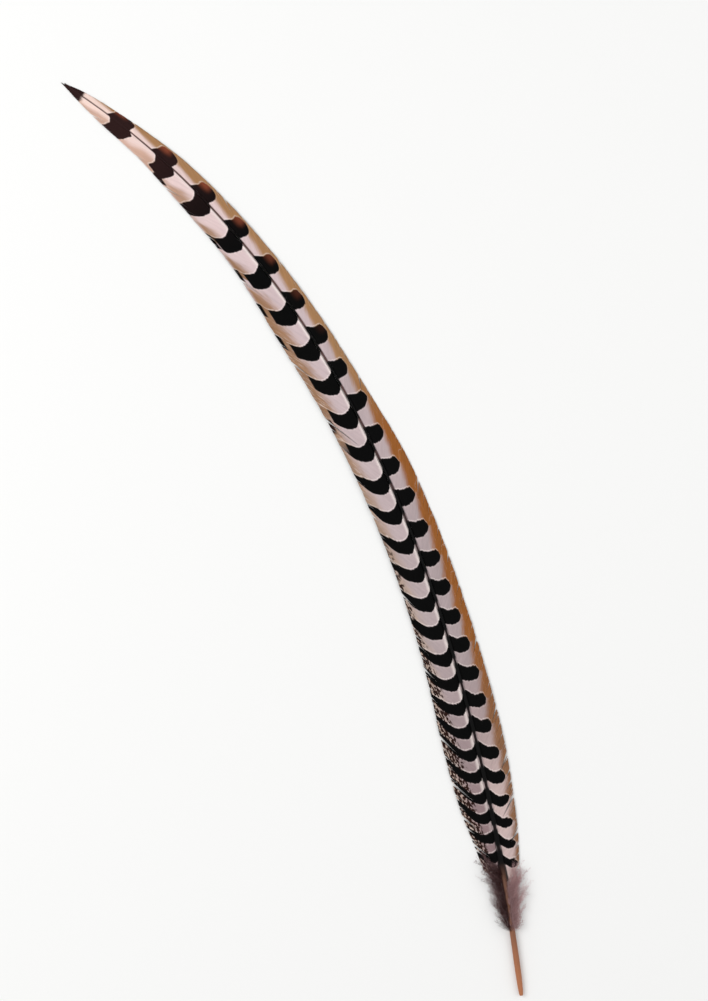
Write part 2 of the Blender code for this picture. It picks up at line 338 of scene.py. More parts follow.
def on_feather(distance, across, height):
    """Points at a distance from the tip, across to the right of the shaft, at a height."""
    place = np.clip(distance / LENGTH, 0.0, 1.0) * PATH_STEPS
    steps = np.arange(PATH_STEPS + 1)
    x, y = (np.interp(place, steps, PATH[:, k]) for k in (0, 1))
    tip_x, tip_y = (np.interp(place, steps, TO_TIP[:, k]) for k in (0, 1))
    return np.stack([x + tip_y * across, y - tip_x * across, height + 0.0 * x], axis=-1)


def half_width(distance, side):
    return smooth_between(RIGHT_VANE if side > 0 else LEFT_VANE, distance)


def margin_height(distance, side):
    """Height of the vane's margin over the surface that the feather lies on."""
    t = distance / LENGTH
    if side > 0:
        return MARGIN_CLEARANCE + RIGHT_MARGIN_LIFT * np.sin(2 * math.pi * t) ** 2
    return MARGIN_CLEARANCE + LEFT_MARGIN_LIFT * np.sin(math.pi * t) ** 2


def barb_place(root, out, side):
    """Distance, across and height of the point at a share of the barb rooted at a distance from the tip."""
    angle = BARB_ANGLE_TIP + BARB_ANGLE_GAIN * (root / LENGTH) ** BARB_ANGLE_POWER
    reach = half_width(root, side) / np.tan(np.radians(angle))
    end = np.where(root > RACHIS_START, np.maximum(root - reach, 0.0), 0.0)
    distance = root - (root - end) * out**BARB_CURL
    across = side * out * half_width(end, side)
    middle, margin = shaft_height(distance), margin_height(distance, side)
    height = margin + (middle - margin) * (1 - np.minimum(out, 1.0) ** CAMBER_POWER)
    return distance, across, height


def wander(rng, count, run):
    """Smooth random numbers from -1 to 1 that change over a run of neighbours."""
    knots = rng.uniform(-1, 1, int(count / run) + 3)
    return np.interp(np.arange(count) / run, np.arange(len(knots)), knots)


# ---------------------------------------------------------------- strands


def strand_mesh(name, lines, ring, values, fibre, atlas, under):
    """Closed strands along lines of shape (strand, station, 3).

    The ring is how far sideways and how far up the points round a strand lie, as two arrays of shape
    (strand, station, point) whose last point is the first again. The rows of one grid become those
    points, and the run of faces between one strand and the next goes. The atlas lays the strands side
    by side in a square, each unrolled: the column of each strand, the number of columns, the rows that
    the columns are shared over, and in how many pieces a strand is cut.
    """
    count, stations, points = ring[0].shape
    last_row = points * count - 1
    bm = bmesh.new()
    bmesh.ops.create_grid(bm, x_segments=stations - 1, y_segments=last_row, size=1.0)
    gaps = [f for f in bm.faces if int((f.calc_center_median().y + 1) / 2 * last_row) % points == points - 1]
    bmesh.ops.delete(bm, geom=gaps, context="FACES")
    mesh = bpy.data.meshes.new(name)
    bm.to_mesh(mesh)
    bm.free()

    flat = np.empty(len(mesh.vertices) * 3, np.float32)
    mesh.vertices.foreach_get("co", flat)
    grid = flat.reshape(-1, 3)
    station = np.rint((grid[:, 0] + 1) / 2 * (stations - 1)).astype(int)
    strand, point = np.divmod(np.rint((grid[:, 1] + 1) / 2 * last_row).astype(int), points)

    along = np.gradient(lines, axis=1)
    along /= np.maximum(np.linalg.norm(along, axis=2, keepdims=True), 1e-12)
    up = np.array([0.0, 0.0, 1.0]) - along * along[..., 2:]
    up /= np.maximum(np.linalg.norm(up, axis=2, keepdims=True), 1e-12)
    directions = (np.cross(up, along), up)
    place = lines[strand, station]
    for direction, offset in zip(directions, ring):
        place = place + direction[strand, station] * offset[strand, station, point][:, None]
    mesh.vertices.foreach_set("co", place.astype(np.float32).ravel())

    def at_points(table):
        table = table if table.ndim == 3 else table[..., None]
        return np.broadcast_to(table, (count, stations, points))[strand, station, point]

    for key, table in values.items():
        layer = mesh.attributes.new(key, "FLOAT", "POINT")
        layer.data.foreach_set("value", at_points(table).astype(np.float32))

    corner = np.empty(len(mesh.loops), np.int32)
    mesh.loops.foreach_get("vertex_index", corner)
    run = point[corner].reshape(-1, 4).min(axis=1)
    layer = mesh.attributes.new("underside", "FLOAT", "FACE")
    layer.data.foreach_set("value", np.array(under, np.float32)[run])

    columns, total, rows, pieces = atlas
    per_piece = math.ceil((stations - 1) / pieces)
    piece = np.repeat(station[corner].reshape(-1, 4).min(axis=1) // per_piece, 4)
    column = columns[strand[corner]] * pieces + piece
    per_row = math.ceil(total * pieces / rows)
    across = (column % per_row + 0.06 + 0.88 * point[corner] / (points - 1)) / per_row
    down = (column // per_row + 0.02 + 0.96 * (station[corner] / per_piece - piece)) / rows
    maps = {"fibre": [at_points(table)[corner] for table in fibre], "OFBake": [across, down]}
    for key, pair in maps.items():
        layer = mesh.uv_layers.new(name=key)
        layer.uv.foreach_set("vector", np.stack(pair, axis=-1).astype(np.float32).ravel())

    bm = bmesh.new()
    bm.from_mesh(mesh)
    bmesh.ops.remove_doubles(bm, verts=bm.verts, dist=1e-7)
    bmesh.ops.recalc_face_normals(bm, faces=bm.faces)
    bm.to_mesh(mesh)
    bm.free()
    mesh.shade_smooth()
    return mesh


def three_sided(width, ridge):
    """Ring of a strand with a flat underside and a ridge on top, pointed at both ends."""
    ends = np.ones(width.shape[1])
    ends[[0, -1]] = 0.0
    sideways = np.array([-0.5, 0.0, 0.5, -0.5])
    rise = np.array([0.0, 1.0, -0.35, 0.0])
    return (width * ends)[..., None] * sideways, (ridge * ends)[..., None] * rise


THREE_SIDED_UNDER = (0.0, 0.0, 1.0)


def add_piece(name, mesh, material):
    """A finished piece on the feather's body, in place of its solid."""
    old = bpy.data.objects.get(name)
    if old:
        bpy.data.objects.remove(old)
    piece = bpy.data.objects.new(name, mesh)
    bpy.context.scene.collection.objects.link(piece)
    mesh.materials.clear()
    mesh.materials.append(material)
    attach(piece, BODY)
    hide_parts(NODE)
    return piece


# ---------------------------------------------------------------- materials


class Signal:
    """A socket of a material's nodes that can be used in arithmetic."""

    def __init__(self, tree, socket):
        self.tree, self.socket = tree, socket

    def math(self, operation, *others):
        node = self.tree.nodes.new("ShaderNodeMath")
        node.operation = operation
        for slot, value in zip(node.inputs, (self, *others)):
            if isinstance(value, Signal):
                self.tree.links.new(value.socket, slot)
            else:
                slot.default_value = value
        return Signal(self.tree, node.outputs[0])

    def __add__(self, other):
        return self.math("ADD", other)

    def __sub__(self, other):
        return self.math("SUBTRACT", other)

    def __mul__(self, other):
        return self.math("MULTIPLY", other)

    def __truediv__(self, other):
        return self.math("DIVIDE", other)

    def __abs__(self):
        return self.math("ABSOLUTE")

    def inverse(self):
        return (self * -1.0) + 1.0

    def step(self, low, high):
        """0 below low, 1 above high and smooth between, or the other way round where low is higher."""
        node = self.tree.nodes.new("ShaderNodeMapRange")
        node.interpolation_type = "SMOOTHSTEP"
        rising = low < high
        node.inputs["From Min"].default_value = min(low, high)
        node.inputs["From Max"].default_value = max(low, high)
        node.inputs["To Min"].default_value = 0.0 if rising else 1.0
        node.inputs["To Max"].default_value = 1.0 if rising else 0.0
        self.tree.links.new(self.socket, node.inputs["Value"])
        return Signal(self.tree, node.outputs["Result"])


class Finish:
    """A material under construction."""

    def __init__(self, name):
        old = bpy.data.materials.get(name)
        if old:
            bpy.data.materials.remove(old)
        self.material = bpy.data.materials.new(name)
        self.material.use_nodes = True
        self.tree = self.material.node_tree
        self.shader = self.tree.nodes["Principled BSDF"]

    def attribute(self, name):
        node = self.tree.nodes.new("ShaderNodeAttribute")
        node.attribute_name = name
        return Signal(self.tree, node.outputs["Fac"])

    def stretched_noise(self, scale_u, scale_v, detail=2.0, uv="fibre"):
        """Noise on a UV map whose two scales differ, which makes streaks."""
        source = self.tree.nodes.new("ShaderNodeUVMap")
        source.uv_map = uv
        mapping = self.tree.nodes.new("ShaderNodeMapping")
        mapping.inputs["Scale"].default_value = (scale_u, scale_v, 1.0)
        noise = self.tree.nodes.new("ShaderNodeTexNoise")
        noise.inputs["Scale"].default_value = 1.0
        noise.inputs["Detail"].default_value = detail
        self.tree.links.new(source.outputs["UV"], mapping.inputs["Vector"])
        self.tree.links.new(mapping.outputs["Vector"], noise.inputs["Vector"])
        return Signal(self.tree, noise.outputs["Fac"])

    def ramp(self, value, stops):
        """Colour along a value from (place, colour) stops."""
        node = self.tree.nodes.new("ShaderNodeValToRGB")
        elements = node.color_ramp.elements
        while len(elements) < len(stops):
            elements.new(0.5)
        for element, (place, colour) in zip(elements, stops):
            element.position = place
            element.color = (*colour, 1.0)
        self.tree.links.new(value.socket, node.inputs["Fac"])
        return node.outputs["Color"]

    def mix(self, first, second, factor, blend="MIX"):
        """Colours mixed by a factor; each colour is a socket or a tuple."""
        node = self.tree.nodes.new("ShaderNodeMix")
        node.data_type = "RGBA"
        node.blend_type = blend
        for name, value in (("A", first), ("B", second)):
            slot = next(s for s in node.inputs if s.name == name and s.type == "RGBA")
            if isinstance(value, bpy.types.NodeSocket):
                self.tree.links.new(value, slot)
            else:
                slot.default_value = (*value, 1.0)
        if isinstance(factor, Signal):
            self.tree.links.new(factor.socket, node.inputs["Factor"])
        else:
            node.inputs["Factor"].default_value = factor
        return next(s for s in node.outputs if s.type == "RGBA")

    def shaded(self, colour, tone):
        """A colour made lighter or darker by a signal that is 1 where nothing changes."""
        node = self.tree.nodes.new("ShaderNodeVectorMath")
        node.operation = "SCALE"
        self.tree.links.new(colour, node.inputs[0])
        self.tree.links.new(tone.socket, node.inputs["Scale"])
        return node.outputs["Vector"]

    def finish(self, colour, roughness, settings, bump=None, bump_depth=0.0):
        """Joins the colour and relief to the shader and sets its plain numbers."""
        self.tree.links.new(colour, self.shader.inputs["Base Color"])
        if isinstance(roughness, Signal):
            self.tree.links.new(roughness.socket, self.shader.inputs["Roughness"])
        else:
            self.shader.inputs["Roughness"].default_value = roughness
        if bump is not None:
            node = self.tree.nodes.new("ShaderNodeBump")
            node.inputs["Distance"].default_value = bump_depth
            self.tree.links.new(bump.socket, node.inputs["Height"])
            self.tree.links.new(node.outputs["Normal"], self.shader.inputs["Normal"])
        for name, value in settings.items():
            self.shader.inputs[name].default_value = value
        return self.material


def barb_finish(name, side):
    """Bars, pale ground between them and coloured margins, all carried by the barbs."""
    tints = bpy.context.scene.feather_colours
    made = Finish(name)
    along, lobe, outward, bar, beside = (
        made.attribute(key) for key in ("along", "lobe", "outward", "bar", "beside")
    )
    streaks = made.stretched_noise(1700.0, 90.0, 3.0)
    patches = made.stretched_noise(260.0, 160.0, 4.0)

    # Place in the interval between two bars, and place in the bar, both counted towards the quill.
    interval = bar - bar.math("FLOOR")
    from_bar = bar - (bar + 0.5).math("FLOOR")
    over = ((from_bar * -1.0) - made.attribute("above")) / made.attribute("softness")
    under = (from_bar - made.attribute("below")) / made.attribute("softness")

    ground = made.ramp(
        along,
        ((0.04, tints.pale_tip), (0.15, tints.pale_upper), (0.30, tints.pale_middle), (0.66, tints.pale_lower),
         (0.84, tints.pale_base)),
    )
    rough, lean, soft = (0.4, 0.2, 0.28) if side < 0 else (0.3, 0.35, 0.20)
    warm = made.attribute("warm") + (patches - 0.5) * rough + (streaks - 0.5) * (rough / 2)
    warm = warm + (interval - 0.55) * lean
    if side < 0:
        # Near the tip the upper part of each interval stays pale.
        warm = warm - interval.step(0.58, 0.28) * along.step(0.29, 0.26) * 0.28
    warm = warm.step(-soft, 0.18)
    if side < 0:
        outer = made.ramp(along, ((0.09, tints.sand), (0.21, tints.fawn), (0.42, tints.fawn), (0.62, tints.ash)))
        # The intervals near the tip keep a paler margin beyond the warm tone.
        margin = (outward + (patches - 0.5) * 0.10).step(0.90, 0.98)
        warm = warm * (margin * along.step(0.31, 0.27) * 0.60).inverse()
    else:
        ground = made.shaded(ground, (along.step(0.32, 0.38) * along.step(0.66, 0.60) * 0.07).inverse())
        ground = made.mix(ground, tints.pale_foot, along.step(0.68, 0.84))
        outer = made.ramp(along, ((0.1, tints.ochre), (0.38, tints.ochre), (0.45, tints.tawny), (0.66, tints.tawny),
                                  (0.76, tints.umber)))
    ground = made.mix(ground, outer, warm)
    rim = (over.step(0.8, 1.7) * over.step(4.6, 2.6) * 0.55).math("MAXIMUM", under.step(0.8, 1.6) * under.step(3.4, 2.0) * 0.25)
    if side < 0:
        pale_streaks = streaks.step(0.56, 0.66) * warm * along.step(0.3, 0.36) * along.step(0.56, 0.48)
        by_shaft = beside.step(3.6, 1.2) * along.step(0.86, 0.80) * along.step(0.02, 0.30)
        rim = rim.math("MAXIMUM", by_shaft * 0.7).math("MAXIMUM", pale_streaks * 0.5)
    ground = made.mix(ground, tints.cream_rim, rim)

    dark = over.math("MAXIMUM", under).step(1.0, -1.0) * made.attribute("barred")
    ink = made.mix(tints.brown, tints.black, along.step(0.07, 0.24))
    if side > 0:
        corner = lobe.step(0.3, 0.85) * (from_bar / made.attribute("above")).step(0.4, -0.5) * along.step(0.38, 0.15)
        ink = made.mix(ink, tints.chestnut, corner)
    else:
        # Upper bars are broken by a pale streak before the margin, and the next two end there.
        shifted = outward + along.step(0.21, 0.28) * 0.11 - along.step(0.34, 0.38) * 0.05
        streak = shifted.step(0.85, 0.88) * (outward - along.step(0.35, 0.37)).step(0.90, 0.86)
        streak = streak * along.step(0.185, 0.205) * along.step(0.46, 0.44)
        dark = dark * (streak * 0.9).inverse()
        mottle = made.stretched_noise(400.0, 320.0, 1.0)
        speckled = outward + (patches - 0.5) * 0.2 + along.step(0.60, 0.80) * 0.36 + 0.02
        specks = (mottle + speckled.step(0.84, 0.98) * 0.10).step(0.53, 0.58) * speckled.step(0.78, 0.90)
        ground = made.mix(ground, tints.freckle, specks * along.step(0.52, 0.58))
        # One slipped clump of barbs shows its piece of a bar as a short mark at the margin.
        mark = outward.step(0.83, 0.90) * along.step(0.418, 0.423) * along.step(0.435, 0.430)
        ground = made.mix(ground, tints.freckle, mark)
    halo = beside.step(0.7, 0.0) * along.step(0.40, 0.30) * 0.4
    ground = made.mix(ground, tints.rachis_tip, halo)
    colour = made.mix(ground, ink, dark)
    beside_foot = (beside - along.step(0.84, 0.90) * 1.6).step(0.35, -0.35) * along.step(0.83, 0.86)
    colour = made.mix(colour, tints.black, beside_foot * 0.9)
    foot = (along + (patches - 0.5) * 0.03 - (0.012 if side > 0 else 0.0)).step(0.879, 0.893)
    colour = made.mix(colour, made.mix(tints.down_shade, tints.down, streaks.step(0.4, 0.6)), foot * 0.9)
    tone = made.attribute("tone") + (streaks - 0.5) * 0.3 + (patches - 0.5) * 0.18
    colour = made.shaded(colour, tone)
    colour = made.mix(colour, tints.underside, made.attribute("underside") * 0.5)
    barbules = made.stretched_noise(9000.0, 14000.0, 1.0)
    return made.finish(colour, 0.6, {"Specular IOR Level": 0.06}, barbules, 0.00003)


def shaft_finish():
    """Dark rachis with a pale grooved underside, running out into a horn-coloured quill."""
    tints = bpy.context.scene.feather_colours
    made = Finish("rachis_and_quill")
    along = made.attribute("along")
    streaks = made.stretched_noise(60.0, 12.0, 4.0)
    fine = made.stretched_noise(150.0, 60.0, 3.0)
    top = made.mix(tints.rachis_tip, tints.rachis, along.step(0.24, 0.68))
    flank = made.attribute("flank").step(0.55, 0.8) * along.step(0.48, 0.60) * along.step(0.88, 0.83)
    top = made.mix(top, tints.pale_lower, flank * 0.85)
    ink = made.mix(tints.brown, tints.black, along.step(0.07, 0.24))
    top = made.mix(top, ink, made.attribute("barred"))
    bare = (along + (streaks - 0.5) * 0.03).step(0.895, 0.945)
    colour = made.mix(made.mix(top, tints.groove, made.attribute("underside")), tints.horn, bare)
    # The quill is darker in fine streaks, and most where it comes out of the down, fading towards its end.
    shade = (fine.step(0.5, 0.7) * 0.45 + along.step(1.0, 0.90)) * along.step(0.87, 0.9)
    colour = made.mix(colour, tints.horn_shade, shade)
    colour = made.shaded(colour, (streaks - 0.5) * 0.4 + 1.0)
    return made.finish(colour, bare.inverse() * 0.25 + 0.35, {"Specular IOR Level": 0.1}, streaks, 0.00006)


def down_finish(name):
    """Mauve brown down, darker at its roots."""
    tints = bpy.context.scene.feather_colours
    made = Finish(name)
    streaks = made.stretched_noise(800.0, 60.0, 3.0)
    out, tone = made.attribute("outward"), made.attribute("tone")
    lighter = streaks + tone * 0.4 + out * (tone * 0.2 + 0.2)
    colour = made.mix(tints.down_shade, tints.down, lighter.step(0.55, 1.1))
    colour = made.mix(colour, tints.pale_base, out.step(0.6, 1.0) * (tone * 0.3 + 0.1))
    return made.finish(colour, 0.75, {"Specular IOR Level": 0.1})


# ---------------------------------------------------------------- pieces


def bar_pattern(distance, across, side):
    """How the bars lie over the vane, as arrays by name."""
    lateral = np.abs(across)
    width = np.maximum(half_width(distance, side), 1e-5)
    if side < 0:
        bars, half = LEFT_BARS, LEFT_HALF
        low = straight_between(LEFT_LOW, distance)
        inside = (np.maximum(low - lateral, 0) / low) ** straight_between(RISE_POWER_INSIDE, distance)
        inside = inside * straight_between(LEFT_RISE_INSIDE, distance)
        beyond = np.maximum(lateral - low, 0) / RISE_RUN
        slip = straight_between(MARGIN_SLIP, distance) * smooth_step(0.8, 0.88, lateral / width)
        placed = distance + inside + straight_between(LEFT_RISE_OUTSIDE, distance) * beyond**RISE_POWER_OUTSIDE - slip
        lobe = lateral / width
        warm = lobe - straight_between(LEFT_WARM_FROM, distance)
    else:
        bars, half = RIGHT_BARS, RIGHT_HALF
        low = straight_between(RIGHT_LOW, distance)
        inside = np.maximum(low - lateral, 0) / low
        placed = distance + straight_between(RIGHT_RISE_INSIDE, distance) * inside**RIGHT_RISE_POWER
        lobe = lateral / straight_between(RIGHT_REACH, distance)
        warm = lobe - straight_between(RIGHT_WARM_FROM, distance)
    numbers = np.arange(-1, len(bars) + 1)
    places = np.array([2 * bars[0] - bars[1], *bars, 2 * bars[-1] - bars[-2]])
    number = smooth_between(list(zip(places, numbers)), placed)
    spacing = np.interp(placed, (places[1:] + places[:-1]) / 2, np.diff(places))
    thick = straight_between(half, distance)
    if side < 0:
        thinning = straight_between(MARGIN_THINNING, distance) * smooth_step(0.74, 1.0, lobe)
        above = below = thick * (1 - 0.14 * smooth_step(0.2, 0.45, lobe) - thinning)
    else:
        thick = thick * (1 + straight_between(RIGHT_SWELL, distance) * inside)
        above = thick * (1 - np.minimum(lobe, 1.2) ** UPPER_CORNER)
        below = thick * (1 - np.minimum(lobe, 1.2) ** straight_between(LOWER_CORNER, distance))
    return {"bar": number, "above": above, "below": below, "spacing": spacing, "lobe": lobe, "warm": warm}


def split_shift(root, out, side):
    """How far the barbs on the tip side of each parting have moved towards the tip."""
    shift = np.zeros(np.broadcast(root, out).shape)
    for split, joined in RIGHT_SPLITS if side > 0 else LEFT_SPLITS:
        near = np.where((root <= split) & (root > split - SPLIT_FADE), 1 - (split - root) / SPLIT_FADE, 0.0)
        shift += SPLIT_GAP * near * np.clip((out - joined) / (1 - joined), 0.0, None)
    return shift


def clumps(rng, roots):
    """For every barb, the root that its clump gathers to, how strongly, and how far the clump has slipped."""
    centre, pull, slip = (np.zeros(len(roots)) for _ in range(3))
    first = 0
    while first < len(roots):
        size = int(rng.integers(5, 22))
        group = slice(first, first + size)
        centre[group] = roots[group].mean() + rng.uniform(-0.0006, 0.0006)
        share = roots[group].mean() / VANE_END
        pull[group] = rng.uniform(0.02, 0.12) + rng.uniform(0.0, 0.24) * share**2
        slip[group] = rng.uniform(-1.0, 1.0) * (0.0003 + 0.0009 * share**3)
        first += size
    return centre[:, None], pull[:, None], slip[:, None]


def barbs_mesh(side, stations=16):
    sizes = bpy.context.scene.feather_sizes
    rng = np.random.default_rng(11 if side < 0 else 12)
    count = sizes.barbs_per_side
    even = np.linspace(RACHIS_START, VANE_END, count)
    roots = even[:, None]
    outs = (1 - (1 - np.linspace(0.0, 1.0, stations)) ** 1.5)[None, :]
    length = 1 + 0.008 * wander(rng, count, 9) + 0.006 * rng.uniform(-1, 1, count)
    length = np.where(even < 0.03, np.minimum(length, 1.0), length)[:, None]
    outs = outs * length

    distance, across, height = barb_place(roots + 0 * outs, outs, side)
    rest = on_feather(distance, across, height)
    tangent = np.gradient(rest, axis=1)
    tangent /= np.maximum(np.linalg.norm(tangent, axis=2, keepdims=True), 1e-12)
    to_next = np.gradient(rest, axis=0)
    apart = np.linalg.norm(to_next - tangent * (to_next * tangent).sum(axis=2, keepdims=True), axis=2)
    apart = np.maximum(apart, 0.00009)

    centre, pull, slip = clumps(rng, even)
    moved = roots + (centre - roots) * pull * smooth_step(0.62, 1.0, outs)
    moved = np.maximum(moved - split_shift(roots, outs, side), RACHIS_START)
    loose_distance, loose_across, loose_height = barb_place(moved, outs, side)
    lift = 0.00035 * (wander(rng, count, 14)[:, None] + 1) * outs**2 + 0.00006 * rng.uniform(0, 1, (count, 1))
    lines = on_feather(loose_distance, loose_across, loose_height + lift)

    width = apart * sizes.barb_overlap * (1 - 0.35 * smooth_step(0.88, 1.0, outs))
    ring = three_sided(width, np.minimum(sizes.barb_ridge, width * 0.35))
    pattern = bar_pattern(distance, across, side)
    spacing = pattern.pop("spacing")
    ragged = 0.00032 * wander(rng, count, 3.0)[:, None] + 0.00022 * rng.uniform(-1, 1, (count, 1))
    ragged = (ragged + slip * smooth_step(0.2, 0.9, outs)) * smooth_step(0.0, 0.04, distance)
    number = pattern["bar"] + ragged / spacing
    last = len(LEFT_BARS) - 0.5
    tip = smooth_step(TIP_MARK + 0.0004, TIP_MARK - 0.0004, distance + 2.0 * ragged)
    values = {
        **pattern,
        "along": distance / LENGTH,
        "outward": np.abs(across) / np.maximum(half_width(distance, side), 1e-5),
        "beside": (np.abs(across) - shaft_width(distance) / 2) * 1000,
        "bar": np.where(tip > 0, 0.0, number),
        "above": np.where(tip > 0, 1.0, pattern["above"]),
        "below": np.where(tip > 0, 1.0, pattern["below"]),
        "softness": 0.00030 / spacing,
        "barred": np.where(distance < 0.035, tip, smooth_step(last + 0.05, last - 0.05, number)),
        "tone": 1 + 0.05 * rng.uniform(-1, 1, (count, 1)) + 0.04 * wander(rng, count, 12)[:, None] + 0 * outs,
    }
    fibre = (roots + 0 * outs, np.abs(across) / math.sin(math.radians(28)))
    name = "right_barbs" if side > 0 else "left_barbs"
    return strand_mesh(name, lines, ring, values, fibre, (np.arange(count), count, 10, 1), THREE_SIDED_UNDER)


def bars_at_shaft(distance):
    """1 where a bar of either vane meets the shaft, and in the tip's mark."""
    marked = smooth_step(TIP_MARK + 0.0006, TIP_MARK - 0.0006, distance)
    for side, last in ((-1, len(LEFT_BARS)), (1, len(RIGHT_BARS))):
        pattern = bar_pattern(distance, side * shaft_width(distance) / 2, side)
        from_bar = pattern["bar"] - np.round(pattern["bar"])
        soft = 0.0008 / pattern["spacing"]
        reached = np.maximum(-from_bar - pattern["above"], from_bar - pattern["below"])
        inside = smooth_step(soft, -soft, reached) * (distance > 0.035) * (pattern["bar"] < last - 0.5)
        marked = np.maximum(marked, inside)
    return marked


def shaft_mesh(sides=16, stations=480, end_stations=20):
    """A round shaft with a groove along the underside of the rachis, closed at both ends."""
    sizes = bpy.context.scene.feather_sizes
    even = np.linspace(RACHIS_START / 2, LENGTH - QUILL_TAPER, stations, endpoint=False)
    rounded = LENGTH - QUILL_TAPER * (1 - np.linspace(0.0, 1.0, end_stations)) ** 2
    distance = np.concatenate([even, rounded])[None, :]
    lines = on_feather(distance, 0.0, shaft_height(distance))
    ends = np.ones_like(distance)
    ends[0, [0, -1]] = 0.0
    turn = np.linspace(0.0, 1.0, sides + 1)
    angle = 2 * math.pi * (turn - 0.25)
    in_vane = smooth_step(0.765, 0.74, distance)
    below = np.exp(-((np.cos(angle) / 0.42) ** 2)) * (np.sin(angle) < 0)
    radius = (shaft_width(distance) / 2 * ends)[..., None]
    groove = 1 - sizes.groove_depth * in_vane[..., None] * below
    ring = (radius * np.cos(angle), radius * np.sin(angle) * groove * (1 + 0.12 * in_vane[..., None]))
    middle = (angle[1:] + angle[:-1]) / 2
    atlas = (np.zeros(1, int), 1, 1, 9)
    fibre = (turn[None, None, :], distance)
    flank = np.abs(np.cos(angle))[None, None, :]
    values = {"along": distance / LENGTH, "barred": bars_at_shaft(distance), "flank": flank}
    return strand_mesh("shaft", lines, ring, values, fibre, atlas, np.sin(middle) < -0.4)


def down_strands(rng):
    """Loose curved strands at the foot of the vane as points, on the left and then on the right."""
    sizes = bpy.context.scene.feather_sizes
    sides = []
    for side in (-1, 1):
        count = sizes.down_strands
        place = np.sort(rng.uniform(0.0, 1.0, count))[:, None]
        root = DOWN_STARTS[side] + (DOWN_END - DOWN_STARTS[side]) * place
        f = np.linspace(0.0, 1.0, DOWN_STATIONS)[None, :]
        length = sizes.down_length * rng.uniform(0.45, 1.0, (count, 1)) * (1 - DOWN_SHORTENING * place**2)
        angle = np.radians(DOWN_ANGLE - DOWN_ANGLE_LOSS * place + rng.uniform(-14, 14, (count, 1)))
        bent = angle - np.radians(rng.uniform(-15, 40, (count, 1))) * f
        step = length / (DOWN_STATIONS - 1)
        waves = np.sin(2 * math.pi * (f * rng.uniform(0.8, 1.8, (count, 1)) + rng.uniform(0, 1, (count, 1))))
        distance = root - np.cumsum(np.cos(bent) * step, axis=1)
        first = shaft_width(root) * rng.uniform(-0.4, 0.5, (count, 1))
        across = first + np.cumsum(np.sin(bent) * step, axis=1) + 0.0007 * waves * f
        fall = rng.uniform(0.0, 1.0, (count, 1))
        top = shaft_height(root) + np.sqrt(np.maximum(shaft_width(root) ** 2 / 4 - first**2, 0)) + 0.0001
        height = top + (0.0006 + 0.0036 * fall - top) * f**1.6 + 0.0014 * fall * np.sin(math.pi * f)
        sides.append(on_feather(distance, side * across, np.maximum(height, 0.0004)))
    return np.concatenate(sides)


def down_meshes():
    """Stems of the loose strands, and the barbules that stand off both sides of them."""
    sizes = bpy.context.scene.feather_sizes
    rng = np.random.default_rng(21)
    lines = down_strands(rng)
    count, stations = lines.shape[:2]
    out = np.linspace(0.0, 1.0, stations)[None, :] + np.zeros((count, 1))
    tone = rng.uniform(0, 0.25, (count, 1))
    tone[count // 2:] += 0.70
    tone_column = (tone[:, 0] * TONE_COLUMNS).astype(int)
    values = {"outward": out, "tone": tone}
    atlas = (tone_column, TONE_COLUMNS, 1, 1)
    width = 0.00022 * (1 - 0.6 * out)
    fibre = (tone * 0.02, out * sizes.down_length)
    stems = strand_mesh("down_stems", lines, three_sided(width, width / 2), values, fibre, atlas, THREE_SIDED_UNDER)

    each = sizes.down_barbules
    share = rng.uniform(0.0, 1.0, (count, each))
    at = share * (stations - 1)
    low = np.minimum(at.astype(int), stations - 2)
    strand = np.arange(count)[:, None]
    ahead = lines[strand, low + 1] - lines[strand, low]
    start = lines[strand, low] + ahead * (at - low)[..., None]
    ahead /= np.linalg.norm(ahead, axis=2, keepdims=True)
    off = np.stack([ahead[..., 1], -ahead[..., 0], 0 * at], axis=-1) * rng.choice([-1.0, 1.0], (count, each, 1))
    reach = rng.uniform(0.0014, 0.0034, (count, each, 1)) * (1.15 - 0.6 * share[..., None])
    rise = rng.uniform(-0.35, 0.5, (count, each, 1)) * np.array([0.0, 0.0, 1.0])
    middle = start + (ahead * 0.75 + off * 0.75 + rise * 0.6) * reach * 0.5
    end = start + (ahead * 1.05 + off * 0.8 + rise) * reach
    twigs = np.stack([start, middle, end], axis=2).reshape(-1, 3, 3)
    twigs[..., 2] = np.maximum(twigs[..., 2], 0.0002)
    width = np.full(twigs.shape[:2], 0.00010)
    tones = np.repeat(tone, each, axis=0)
    values = {"outward": share.reshape(-1, 1), "tone": tones}
    atlas = (np.repeat(tone_column, each), TONE_COLUMNS, 1, 1)
    fibre = (tones * 0.02, share.reshape(-1, 1) * sizes.down_length)
    barbules = strand_mesh("down", twigs, three_sided(width, width / 2), values, fibre, atlas, THREE_SIDED_UNDER)
    return {"down_stems": stems, "down": barbules}


# ---------------------------------------------------------------- operators


class FEATHER_OT_barbs(bpy.types.Operator):
    """Builds both vanes out of single barbs."""

    bl_idname = "feather.barbs"
    bl_label = "Barbs"

    def execute(self, context):
        for side, name in ((-1, "left_barbs"), (1, "right_barbs")):
            add_piece(name, barbs_mesh(side), barb_finish(name, side))
        return {"FINISHED"}


class FEATHER_OT_shaft(bpy.types.Operator):
    """Builds the rachis and the bare quill."""

    bl_idname = "feather.shaft"
    bl_label = "Shaft"

    def execute(self, context):
        add_piece("shaft", shaft_mesh(), shaft_finish())
        return {"FINISHED"}


class FEATHER_OT_down(bpy.types.Operator):
    """Builds the loose down at the foot of the vane."""

    bl_idname = "feather.down"
    bl_label = "Down"

    def execute(self, context):
        for name, mesh in down_meshes().items():
            add_piece(name, mesh, down_finish(name))
        return {"FINISHED"}


